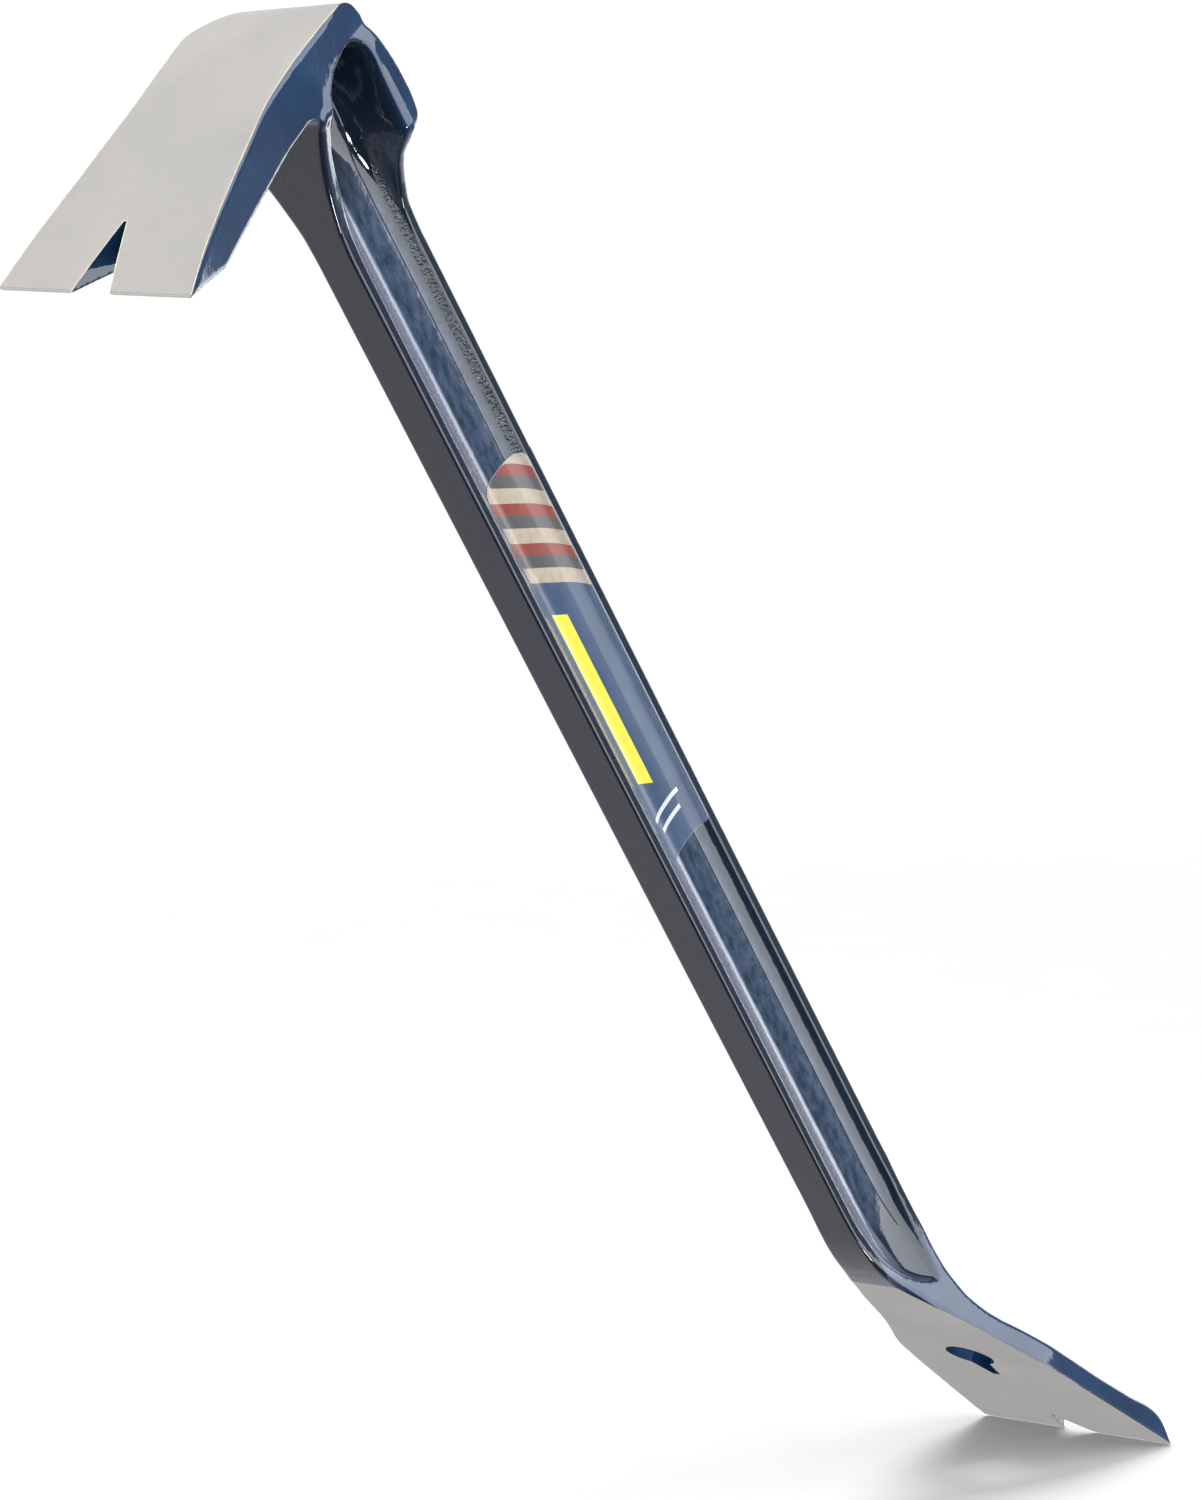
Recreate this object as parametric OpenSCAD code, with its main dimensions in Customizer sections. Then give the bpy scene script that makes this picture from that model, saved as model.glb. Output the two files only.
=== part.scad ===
// Forged I-beam pry bar: a right-angle claw at the top, a bent flat blade at the foot.
// Local frame of the functions: d is forward (the way the claw points), y is across the
// width, and s runs down the shaft from the top of the head. The finished part is leaned
// about Y and stands on the lower cutting edge.

/* [Stance] */
// Lean of the shaft from vertical, in degrees, standing on the lower cutting edge
lean = 39; // [30:1:50]

/* [Shaft] */
// Depth of the I-beam, front flange face to back flange face
beam_depth = 21.4; // [20:0.2:23]
// Width across the edges of each flange
flange_w = 9.4; // [8.4:0.2:11]
// Thickness of each flange at its edge
flange_t = 2.9; // [2.5:0.1:3.3]
// Thickness of the web between the two side grooves
web_t = 4.2; // [3.4:0.2:5]

/* [Head and claw] */
// Forward reach of the claw tip from the middle of the shaft
claw_reach = 67.8; // [64:0.2:72]
// How far the claw tip sits below the flat of the head
claw_drop = 6.3; // [4:0.1:8]
// Width of the claw across its cutting edge
claw_w = 44.6; // [42:0.2:48]
// Width at the narrow neck of the claw
neck_w = 27.8; // [26:0.2:30]
// Width across the rounded heel behind the head
heel_w = 32.4; // [30:0.2:35]
// Height of the flat inner face of the claw below the top of the head
claw_under = 15.6; // [14:0.1:17]
// Length of the bevel under the claw tip
claw_bevel = 14; // [10:0.5:18]
// Width of the V nail slot at its mouth
claw_slot_w = 8.8; // [7:0.2:10]
// Depth of the V nail slot
claw_slot_l = 16.4; // [12:0.2:20]

/* [Blade] */
// Distance from the top of the head to the lower cutting edge, along the shaft
overall_l = 457.2; // [450:0.2:465]
// Angle of the blade back from the line of the shaft, in degrees
blade_angle = 21.3; // [19:0.1:24]
// How far back the cutting edge sits from the middle of the shaft
blade_set = 30.4; // [28:0.2:33]
// Thickness of the blade
blade_t = 5.2; // [4.6:0.1:6]
// Width across the cutting edge
blade_w = 51.2; // [48:0.2:54]
// Width across the shoulders where the flare ends
shoulder_w = 39.2; // [36:0.2:42]
// Distance of the shoulders up the shaft from the cutting edge
shoulder_l = 51; // [46:0.5:56]
// Length of the bevel behind the cutting edge
blade_bevel = 8.6; // [6:0.2:12]
// Width of the V nail slot at its mouth
blade_slot_w = 8.4; // [7:0.2:10]
// Depth of the V nail slot
blade_slot_l = 11; // [9:0.2:14]

/* [Nail hole] */
// Radius of the round part of the hole, inside the paint
hole_r = 5.3; // [4.8:0.1:5.6]
// Distance of the hole's centre from the cutting edge, along the blade
hole_l = 54.4; // [52:0.2:57]
// Width of the tapered slot where it leaves the round part
hole_slot_w = 6.4; // [5:0.2:7]
// Length of the tapered slot from the hole's centre
hole_slot_l = 13.4; // [11:0.2:15]

/* [Finish] */
// Thickness of the baked paint film
paint_t = 0.25; // [0.2:0.05:0.4]
// Distance down the shaft at which the bare ground face of the blade starts
ground_from = 360; // [356:0.5:366]
// Distance down the shaft of the label's upper end
label_top = 118.5; // [110:0.5:125]
// Length of the label
label_l = 107; // [90:1:120]
// Width of the label
label_w = 14.4; // [10:0.2:14.6]
// Thickness of the label
label_t = 0.2; // [0.15:0.05:0.3]

/* [Hidden] */
$fn = 64;

hd = beam_depth / 2;          // half depth of the beam
fw = flange_w / 2;            // half width of a flange
flat_s = 3.3;                 // top flat of the head
heel_s = 35.4;                // foot of the heel
tip_s = flat_s + claw_drop;   // level of the claw tip
head_end = 62;                // the head's flares run out into the plain beam here
shaft_end = 328;              // the plain beam starts to flare into the blade here
tb = tan(blade_angle);
cb = cos(blade_angle);

// ---- curves ----
// front face of the blade and back face of the blade, d for a given s
function blade_front(s) = -blade_set + tb * (overall_l - s);
function blade_back(s) = blade_front(s) - blade_t / cb;
bend_s = overall_l - (blade_set + hd) / tb;     // where the two front faces would meet
bend_r = 62;
bend_t = bend_r * tan(blade_angle / 2);
// half width of the blade and of the front flange's flare into it
function flare(s) = let (sh = overall_l - shoulder_l, k = max(0, s - shaft_end) / (sh - shaft_end))
    fw + (shoulder_w / 2 - fw) * k * k;
// smooth step from a to b
function ease(a, b, k) = a + (b - a) * k * k * (3 - 2 * k);
// points on an arc: centre, radius, from angle a to angle b in n steps
function arc(c, r, a, b, n) = [for (i = [0:n]) c + r * [cos(a + (b - a) * i / n), sin(a + (b - a) * i / n)]];
// miter offset of a counter-clockwise outline by t
function unit(v) = v / norm(v);
function out(a, b) = let (u = unit(b - a)) [u[1], -u[0]];
function grow(p, t) = t == 0 ? p : [for (i = [0:len(p) - 1])
    let (n = len(p), a = p[(i + n - 1) % n], b = p[i], c = p[(i + 1) % n], m = out(a, b), q = out(b, c))
    b + (m + q) * (t / (1 + m * q))];
function flip(p) = [for (i = [len(p) - 1:-1:0]) p[i]];
function mirrored(p) = concat(p, [for (i = [len(p) - 1:-1:0]) [-p[i][0], p[i][1]]]);

// ---- outlines, d forward and z = -s ----
// outer face of the claw, from the tip back to the head
claw_face = [for (i = [0:8]) let (k = i / 8, d = claw_reach * (1 - k) + 2 * k)
    [d, -flat_s - claw_drop * pow(max(0, d - 2) / (claw_reach - 2), 1.45)]];
// heel: rounded corner behind the head, then a long shallow rocker
heel = concat(
    arc([-4.8, -flat_s - 4.6], 4.6, 88, 158, 7),
    [[-9.7, -8.2], [-10.8, -11.2], [-11.8, -14.8], [-12.6, -19.2], [-13.1, -24], [-13.2, -28.6], [-12.9, -32.6]],
    [[-12.2, -heel_s], [-hd, -heel_s - 2.8]]);
// throat between the claw and the front flange
throat = flip(arc([hd + 3.2, -claw_under - 3.2], 3.2, 90, 180, 6));
head_side = flip(concat(
    flip(throat),
    [[hd, -24], [-hd, -24]],
    flip([for (p = heel) if (p[1] > -22) p]),
    flip(claw_face),
    [[claw_reach - 0.2, -tip_s - 0.7], [claw_reach - claw_bevel, -claw_under]]));

// side outline of the front flange and the whole blade
front_bend = arc([hd - bend_r, -bend_s + bend_t], bend_r, 0, -blade_angle, 8);
back_bend = [for (i = [0:6]) let (k = i / 6) [ease(-hd, -7.6, k), -(340 + 31 * k)]];
back_turn = [for (i = [1:6]) let (k = i / 6, s = 371 + 29 * k)
    [-7.6 * (1 - k) * (1 - k) * (1 + 2 * k) + blade_back(400) * k * k * (3 - 2 * k) - tb * 29 * k * k * (k - 1), -s]];
foot_side = concat(
    front_bend,
    [[blade_front(overall_l), -overall_l], [blade_front(overall_l) - 0.55, -overall_l + 0.2],
     [blade_back(overall_l - blade_bevel), -overall_l + blade_bevel]],
    flip(back_turn), flip(back_bend),
    [[0, -340], [0, -14], [hd, -14]]);
back_side = concat([[1, -9], [1, -345]], [[-hd, -345]], flip([for (p = heel) if (p[1] < -9) p]));

// half widths
front_w = concat([for (i = [0:10]) let (k = i / 10, s = 12 + 42 * k) [fw + 11.2 * pow(1 - k, 2), -s]],
    [for (i = [0:16]) let (s = shaft_end + (overall_l - shoulder_l - shaft_end) * i / 16) [flare(s), -s]],
    [[blade_w / 2, -overall_l - 0.01], [blade_w / 2, -overall_l - 2]]);
back_w = concat([[heel_w / 2 - 0.8, -4], [heel_w / 2, -12], [heel_w / 2, -heel_s + 0.2], [heel_w / 2 - 0.7, -heel_s - 1.2]],
    [for (i = [0:9]) let (k = i / 9, s = heel_s + 2 + 25.6 * k) [fw + (heel_w / 2 - 2 - fw) * pow(1 - k, 2), -s]],
    [[fw, -350]]);
// plan of the claw and head, half width for a given d
plan_half = [[-14, heel_w / 2], [-8, heel_w / 2], [-3, 15.2], [1.5, 14.3], [6, neck_w / 2], [12, neck_w / 2], [18.6, neck_w / 2 + 0.2],
    [31, neck_w / 2 + 1.6], [41.7, neck_w / 2 + 3.1], [54.4, neck_w / 2 + 5.4], [claw_reach + 3, claw_w / 2 + 0.55]];
plan = flip(concat(plan_half, [for (i = [len(plan_half) - 1:-1:0]) [plan_half[i][0], -plan_half[i][1]]]));

// side groove with the pocket at its head end and its pointed foot end
gf = hd - flange_t;
groove = flip(concat(
    [[5.3, -15.6], [2.6, -12.9], [-0.6, -11.6], [-3.2, -11.0], [-5.5, -11.4], [-7.2, -12.9], [-gf, -15.6]],
    [[-gf, -340], [-6.2, -352], [-4.4, -361], [-2.9, -368.6]],
    [[1.2, -364], [4.4, -358], [6.6, -351], [gf, -342]],
    [[gf, -24], [6.9, -19]]));

// ---- extrusions ----
module side(p, w = 90) rotate([90, 0, 0]) linear_extrude(w, center = true) polygon(p);
module face(p) rotate([90, 0, 90]) linear_extrude(200, center = true) polygon(p);
module stand() {
    // lean the part about Y, then put the middle of its footprint at the origin
    c = cos(lean);
    sn = sin(lean);
    x1 = claw_reach * c - tip_s * sn;
    x0 = -(blade_set + 0.55 + paint_t) * c - (overall_l - 0.1) * sn;
    z0 = blade_set * sn - overall_l * c;
    translate([-(x0 + x1) / 2, 0, -z0]) rotate([0, lean, 0]) children();
}
// places children on the front face of the blade: +Z out of the face, +X up the blade
module on_blade(l) translate([blade_front(overall_l), 0, -overall_l]) rotate([0, blade_angle, 0])
    rotate([0, 90, 0]) translate([-l, 0, 0]) children();

// nail hole: a round hole that runs into a tapered slot towards the cutting edge
module nail_hole(t) on_blade(hole_l) {
    translate([0, 0, -20]) cylinder(r = hole_r + paint_t - t, h = 40, $fn = 96);
    linear_extrude(40, center = true) polygon(
        [[0, -hole_slot_w / 2 - paint_t + t], [hole_slot_l + paint_t - t, -0.8 - paint_t + t],
         [hole_slot_l + paint_t - t, 0.8 + paint_t - t], [0, hole_slot_w / 2 + paint_t - t]]);
}
// V nail slots at both cutting edges
module vee(l, w, t) let (e = (w / 2 - 0.4) / l, g = paint_t - t) linear_extrude(90, center = true) polygon(
    [[-l - g, -0.4 - g], [3, -w / 2 - 3 * e - g], [3, w / 2 + 3 * e + g], [-l - g, 0.4 + g]]);
module claw_slot(t) translate([claw_reach, 0, 0]) vee(claw_slot_l, claw_slot_w, t);
module blade_slot(t) on_blade(0) vee(blade_slot_l, blade_slot_w, t);

// the whole bar, with t of film on it
module bar(t) difference() {
    union() {
        intersection() {
            side(grow(head_side, t));
            linear_extrude(120, center = true) polygon(grow(plan, t));
        }
        intersection() {
            side(grow(flip(foot_side), t));
            face(grow(mirrored(front_w), t));
        }
        intersection() {
            side(grow(back_side, t));
            face(grow(mirrored(back_w), t));
        }
    }
    for (m = [-1, 1]) translate([0, m * (30 + web_t / 2 + t), 0]) side(grow(groove, -t), 60);
    nail_hole(t);
    claw_slot(t);
    blade_slot(t);
}
// the ground faces: film is taken off in front of the blade, over the claw and at both edges
module ground() {
    side([[blade_front(ground_from) - 0.005, -ground_from], [blade_front(overall_l) - 0.005, -overall_l],
          [blade_front(overall_l) - 1.2, -overall_l], [blade_front(overall_l) - 1.2, -overall_l - 6], [40, -overall_l - 6], [40, -ground_from]]);
    side(concat([for (p = claw_face) p + [0, -0.005]], [[-4.5, -flat_s - 0.02], [-4.5, 8], [claw_reach + 6, 8], [claw_reach + 6, -tip_s - 9],
          [claw_reach - 0.8, -tip_s - 9], [claw_reach - 0.8, -tip_s]]));
}

// ---- sub-parts ----
// The forging is one piece of steel. Its three sections meet face to face.
module section(a, b) stand() intersection() {
    bar(0);
    translate([-100, -100, -b]) cube([250, 200, b - a]);
}
module claw_head() color([0.74, 0.73, 0.71]) section(-20, head_end);
module beam_shaft() color([0.66, 0.66, 0.65]) section(head_end, shaft_end);
module pry_blade() color([0.74, 0.73, 0.71]) section(shaft_end, overall_l + 20);
module paint_coat() color([0.06, 0.13, 0.27]) stand() difference() {
    bar(paint_t);
    bar(0);
    ground();
}
// printed label in the groove of the left side, between the two flanges
module side_label() color([0.19, 0.26, 0.40]) stand()
    translate([0, web_t / 2 + paint_t + label_t / 2, 0]) side([for (q = [[1, 1, 0], [-1, 1, 90], [-1, -1, 180], [1, -1, 270]])
        each arc([q[0] * (label_w / 2 - 2), -label_top - label_l / 2 + q[1] * (label_l / 2 - 2)], 2, q[2], q[2] + 90, 5)], label_t);

claw_head();
beam_shaft();
pry_blade();
paint_coat();
side_label();
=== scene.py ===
import math

import bpy
import numpy as np
from mathutils import Matrix, Vector


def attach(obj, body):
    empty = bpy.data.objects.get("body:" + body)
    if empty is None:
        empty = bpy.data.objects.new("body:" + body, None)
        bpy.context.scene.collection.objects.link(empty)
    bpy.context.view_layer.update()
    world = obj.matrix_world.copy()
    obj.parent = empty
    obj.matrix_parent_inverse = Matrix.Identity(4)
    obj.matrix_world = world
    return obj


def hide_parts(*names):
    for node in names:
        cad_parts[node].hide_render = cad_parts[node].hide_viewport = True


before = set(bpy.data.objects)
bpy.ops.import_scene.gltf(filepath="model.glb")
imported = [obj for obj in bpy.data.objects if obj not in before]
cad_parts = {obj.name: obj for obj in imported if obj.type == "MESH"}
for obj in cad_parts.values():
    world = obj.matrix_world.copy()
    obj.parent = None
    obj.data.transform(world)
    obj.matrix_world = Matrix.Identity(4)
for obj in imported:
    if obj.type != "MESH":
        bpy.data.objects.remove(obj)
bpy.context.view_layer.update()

# ------------------------------------------------------------------ placement
# Local coordinates in mm: S runs down the shaft from the top of the head, Y across the width,
# D forward, the way the claw points. LEAN and OFF put them in the row frame, as the CAD does.
LEAN = math.radians(39.0)
CL, SL = math.cos(LEAN), math.sin(LEAN)
OFF_X, OFF_Z = 132.63014, 336.17979
TAN_B = math.tan(math.radians(21.3))


def to_row(p):
    """(S, Y, D) in mm to the row frame in metres."""
    S, Y, D = p[:, 0], p[:, 1], p[:, 2]
    return np.stack([(D * CL - S * SL + OFF_X) * 1e-3, Y * 1e-3, (-D * SL - S * CL + OFF_Z) * 1e-3], 1)


def turn_row(v):
    """A direction (S, Y, D) to the row frame."""
    S, Y, D = v[:, 0], v[:, 1], v[:, 2]
    return np.stack([D * CL - S * SL, Y, -D * SL - S * CL], 1)


# ------------------------------------------------------------------ curves
def smoothstep(x):
    x = np.clip(x, 0.0, 1.0)
    return x * x * (3 - 2 * x)


class Curve:
    """A monotone cubic through a few points, kept as a fine even table."""

    def __init__(self, pts, step=0.1):
        p = np.array(sorted(pts), float)
        x, y = p[:, 0], p[:, 1]
        h = np.diff(x)
        d = np.diff(y) / h
        m = np.zeros_like(x)
        for i in range(1, len(x) - 1):
            if d[i - 1] * d[i] > 0:
                w1, w2 = 2 * h[i] + h[i - 1], h[i] + 2 * h[i - 1]
                m[i] = (w1 + w2) / (w1 / d[i - 1] + w2 / d[i])
        m[0], m[-1] = d[0], d[-1]
        self.lo, self.step = x[0], step
        q = np.arange(x[0], x[-1] + step, step)
        k = np.clip(np.searchsorted(x, q, side="right") - 1, 0, len(x) - 2)
        t = (q - x[k]) / h[k]
        t = np.clip(t, 0, 1)
        self.v = ((2 * t**3 - 3 * t**2 + 1) * y[k] + (t**3 - 2 * t**2 + t) * h[k] * m[k]
                  + (-2 * t**3 + 3 * t**2) * y[k + 1] + (t**3 - t**2) * h[k] * m[k + 1])
        # a light smoothing takes the kinks out of the second derivative
        n = max(3, int(1.2 / step) | 1)
        pad = np.pad(self.v, n // 2, mode="edge")
        self.v = np.convolve(pad, np.ones(n) / n, "valid")
        self.g = np.gradient(self.v, step)

    def _at(self, q, table):
        f = np.clip((q - self.lo) / self.step, 0, len(table) - 1.001)
        i = f.astype(np.int32)
        f = f - i
        return table[i] * (1 - f) + table[i + 1] * f

    def __call__(self, q):
        return self._at(q, self.v)

    def slope(self, q):
        return self._at(q, self.g)


def outline_distance(points, lo, hi, step):
    """Signed distance to a closed outline on an even grid, positive inside."""
    p = np.array(points, float)
    # centripetal Catmull-Rom round the loop
    n = len(p)
    out = []
    for i in range(n):
        a, b, c, d = p[i - 1], p[i], p[(i + 1) % n], p[(i + 2) % n]
        t0 = 0.0
        t1 = t0 + np.linalg.norm(b - a) ** 0.5
        t2 = t1 + np.linalg.norm(c - b) ** 0.5
        t3 = t2 + np.linalg.norm(d - c) ** 0.5
        m = max(2, int(np.linalg.norm(c - b) / 0.8))
        m = min(m, 24)
        for t in np.linspace(t1, t2, m, endpoint=False):
            a1 = (t1 - t) / (t1 - t0) * a + (t - t0) / (t1 - t0) * b
            a2 = (t2 - t) / (t2 - t1) * b + (t - t1) / (t2 - t1) * c
            a3 = (t3 - t) / (t3 - t2) * c + (t - t2) / (t3 - t2) * d
            b1 = (t2 - t) / (t2 - t0) * a1 + (t - t0) / (t2 - t0) * a2
            b2 = (t3 - t) / (t3 - t1) * a2 + (t - t1) / (t3 - t1) * a3
            out.append((t2 - t) / (t2 - t1) * b1 + (t - t1) / (t2 - t1) * b2)
    q = np.array(out)
    xs = np.arange(lo[0], hi[0] + step, step)
    ys = np.arange(lo[1], hi[1] + step, step)
    X, Yg = np.meshgrid(xs, ys, indexing="ij")
    best = np.full(X.shape, 1e9)
    inside = np.zeros(X.shape, bool)
    for i in range(len(q)):
        a, b = q[i], q[(i + 1) % len(q)]
        ab = b - a
        t = np.clip(((X - a[0]) * ab[0] + (Yg - a[1]) * ab[1]) / max(ab @ ab, 1e-12), 0, 1)
        best = np.minimum(best, (X - a[0] - t * ab[0]) ** 2 + (Yg - a[1] - t * ab[1]) ** 2)
        if a[1] != b[1]:
            crosses = (a[1] > Yg) != (b[1] > Yg)
            xi = a[0] + (Yg - a[1]) * (b[0] - a[0]) / (b[1] - a[1])
            inside ^= crosses & (X < xi)
    field = np.where(inside, 1, -1) * np.sqrt(best)

    def sample(x, y):
        fx = np.clip((x - lo[0]) / step, 0, len(xs) - 1.001)
        fy = np.clip((y - lo[1]) / step, 0, len(ys) - 1.001)
        i, j = fx.astype(np.int32), fy.astype(np.int32)
        fx, fy = fx - i, fy - j
        return ((field[i, j] * (1 - fx) + field[i + 1, j] * fx) * (1 - fy)
                + (field[i, j + 1] * (1 - fx) + field[i + 1, j + 1] * fx) * fy)

    return sample


def both(a, b, r):
    """Intersection with a rounded edge of radius r."""
    u, v = np.maximum(r + a, 0), np.maximum(r + b, 0)
    return np.minimum(-r, np.maximum(a, b)) + np.sqrt(u * u + v * v)


def either(a, b, r):
    """Union with a fillet of radius r."""
    u, v = np.maximum(r - a, 0), np.maximum(r - b, 0)
    return np.maximum(r, np.minimum(a, b)) - np.sqrt(u * u + v * v)


# ------------------------------------------------------------------ the bar's own curves
def blade_line(S):
    return -30.4 + TAN_B * (457.2 - S)


# ground face of the blade, very slightly hollow
ground_front = Curve([(S, blade_line(S) - 0.5 * math.exp(-((S - 385) / 13.0) ** 2)) for S in range(336, 468, 3)])
# painted front face: flat on the shaft, a soft bend, then proud of the ground face
proud = Curve([(300, 0), (360, 0), (363, 0.1), (368, 0.42), (372, 0.8), (377, 1.25), (384, 1.6), (470, 1.6)])
_pf = [(-5, 10.7), (60, 10.7), (200, 10.7), (330, 10.7), (338, 10.7), (343, 10.56), (347, 10.2), (351.7, 9.5), (356, 8.52)]
_pf += [(S, float(ground_front(np.array(float(S))) + proud(np.array(float(S))))) for S in (360, 363, 366, 370, 375, 380, 386, 392, 400, 410, 425, 440, 455, 466)]
paint_front = Curve(_pf)
# back face: heel, shaft, back of the bend, blade, bevel behind the cutting edge
back_face = Curve([(-5, -9.2), (3, -9.35), (6.2, -9.5), (8.2, -9.9), (11.2, -10.8), (14.8, -11.8), (19.2, -12.6), (24, -13.1),
                   (28.6, -13.2), (32.6, -12.8), (35.4, -12.1), (38.4, -10.9), (40.5, -10.7), (200, -10.7), (334, -10.7),
                   (342, -10.25), (355, -8.9), (364, -7.2), (370, -6.6), (376, -6.75), (383, -8.0), (389, -9.9), (394, -11.9),
                   (400.7, -14.35), (411, -18.1), (422.6, -22.3), (435, -27.2), (447.2, -31.95), (449.4, -32.15), (453, -31.75),
                   (457.2, -31.0), (466, -29.6)])
# ground top of the claw and head, S for a given D
claw_top = Curve([(-20, 3.3), (-5, 3.3), (-2, 3.36), (1.2, 3.47), (10, 3.7), (18.6, 4.06), (31, 5.2), (41.7, 6.3), (54.4, 7.63), (68, 9.51), (76, 10.8)])
under_claw = Curve([(-20, 15.6), (20, 15.55), (40, 15.5), (52, 15.45), (53.9, 15.3), (56, 14.6), (62, 12.3), (68, 10.05), (76, 7.0)])
# half width of the claw and head for a given D, near side and the offset of its middle
plan = Curve([(-20, 16.2), (-12, 16.2), (-6, 15.7), (-3, 15.62), (0, 15.6), (3, 15.68), (6, 15.65), (10, 15.45), (18.6, 15.6), (31, 17.0),
              (41.7, 18.5), (54.4, 20.5), (68, 23.0), (76, 24.8)])
middle = Curve([(-20, 0), (-9, 0), (-6, -0.1), (-3, -0.3), (0, -0.55), (3, -0.95), (6, -1.25), (10, -1.35), (18.6, -1.45), (31, -1.4), (41.7, -1.35), (54.4, -1.15), (68, -0.45), (76, 0)])
# half widths of the two flanges and the blade for a given S
front_w = Curve([(-5, 13.8), (3.5, 13.85), (10, 13.95), (15, 14.2), (17.3, 14.6), (20.5, 13.2), (24.3, 11.55), (30.5, 9.2), (35.6, 7.65), (40.6, 6.4),
                 (48.3, 5.0), (55, 4.7), (200, 4.7), (328, 4.7), (335, 4.8), (340.8, 5.05), (351.7, 6.1), (358.9, 7.35), (369.7, 9.6),
                 (378.3, 11.6), (391.75, 15.2), (400.7, 18.3), (404.5, 19.45), (407.5, 20.0), (410, 20.35), (418.3, 21.5), (430.65, 22.95), (443.05, 24.3), (457.1, 25.5), (466, 25.57)])
back_w = Curve([(-5, 16.2), (3.5, 16.2), (20, 16.2), (34.2, 16.15), (35.8, 15.7), (37.6, 14.5), (39.8, 12.6), (42.7, 10.3), (46.8, 8.15), (50.4, 6.75),
                (56.8, 5.1), (65.5, 4.7), (200, 4.7), (328, 4.7), (335, 4.8), (340.8, 5.0), (351.7, 6.0), (358.9, 7.3), (369.7, 9.6),
                (378.3, 11.6), (391.75, 15.2), (400.7, 18.3), (404.5, 19.45), (407.5, 20.0), (410, 20.35), (418.3, 21.5), (430.65, 22.95), (443.05, 24.3), (457.1, 25.5), (466, 25.57)])
web_base = Curve([(-5, 1.8), (330, 1.8), (340, 1.95), (346, 2.4), (352, 3.4), (358, 4.95), (364, 6.9), (369, 9.0), (374, 11.6), (380, 15)])
groove_in = outline_distance(
    [(15.6, 5.3), (12.9, 2.6), (11.6, -0.6), (11.0, -3.1), (11.4, -5.5), (12.9, -7.2), (17.3, -7.95), (22, -7.8), (36, -7.75), (60, -7.85),
     (110, -7.85), (180, -7.85), (250, -7.85), (310, -7.85), (335, -7.8), (344, -7.3), (352, -6.2), (361, -4.5), (366.5, -3.3), (368.4, -2.4), (366.8, -0.9), (363.6, 1.7),
     (358, 4.8), (351, 7.1), (342, 8.4), (325, 8.6), (250, 8.6), (180, 8.6), (110, 8.6), (60, 8.5), (38, 8.1), (24, 7.6), (19, 6.9)],
    (4.0, -12.0), (376.0, 12.0), 0.25)

# the web's hollow: an arc up to the front flange, a faint hollow in the middle, a crease and a tighter arc at the back
_d = np.linspace(12.0, -12.0, 1201)
_ang = np.where(_d > 0.85, -np.arcsin(np.clip((_d - 0.85) / 11.6, 0, 0.80)), np.radians(np.clip((0.85 - _d) / 4.75, 0, 1) * 8.2))
_ang = np.where(_d < -3.9, np.arcsin(np.clip(0.212 + (-3.9 - _d) / 5.8, 0, 0.86)), _ang)
_tan = np.tan(_ang)
_y = np.concatenate([[0], np.cumsum(0.5 * (_tan[1:] + _tan[:-1]) * 0.02)])
_y = _y - _y.min()
_d, _y, _tan = _d[::-1].copy(), _y[::-1].copy(), _tan[::-1].copy()


def dish(D):
    f = np.clip((D + 12.0) / 0.02, 0, len(_d) - 1.001)
    i = f.astype(np.int32)
    f = f - i
    return _y[i] * (1 - f) + _y[i + 1] * f, _tan[i] * (1 - f) + _tan[i + 1] * f


TIP_D, END_S = 67.8, 457.2
CA, SA = math.cos(math.radians(21.3)), math.sin(math.radians(21.3))


def ground_field(S, Y, D):
    """Signed distance to the ground faces: positive where the belt took metal off."""
    # head: over the claw, the crest and a little way down the heel
    over = np.clip((15.0 - Y) / 31.0, 0, 1.1)
    a = (claw_top(D) - S) / np.sqrt(1 + claw_top.slope(D) ** 2)
    dub = np.clip((-7.0 - Y) / 9.0, 0, 1) ** 2
    b = (back_face(S) + (2.6 * over + 3.2 * dub) * smoothstep((22 - S) / 14.0) - D) / np.sqrt(1 + back_face.slope(S) ** 2)
    head = both(a, b, 3.7 + 2.1 * over + 2.0 * dub)
    tip = D - TIP_D
    # blade
    f = (D - ground_front(S)) / np.sqrt(1 + ground_front.slope(S) ** 2)
    end = S - END_S
    return head, tip, f, end


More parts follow.
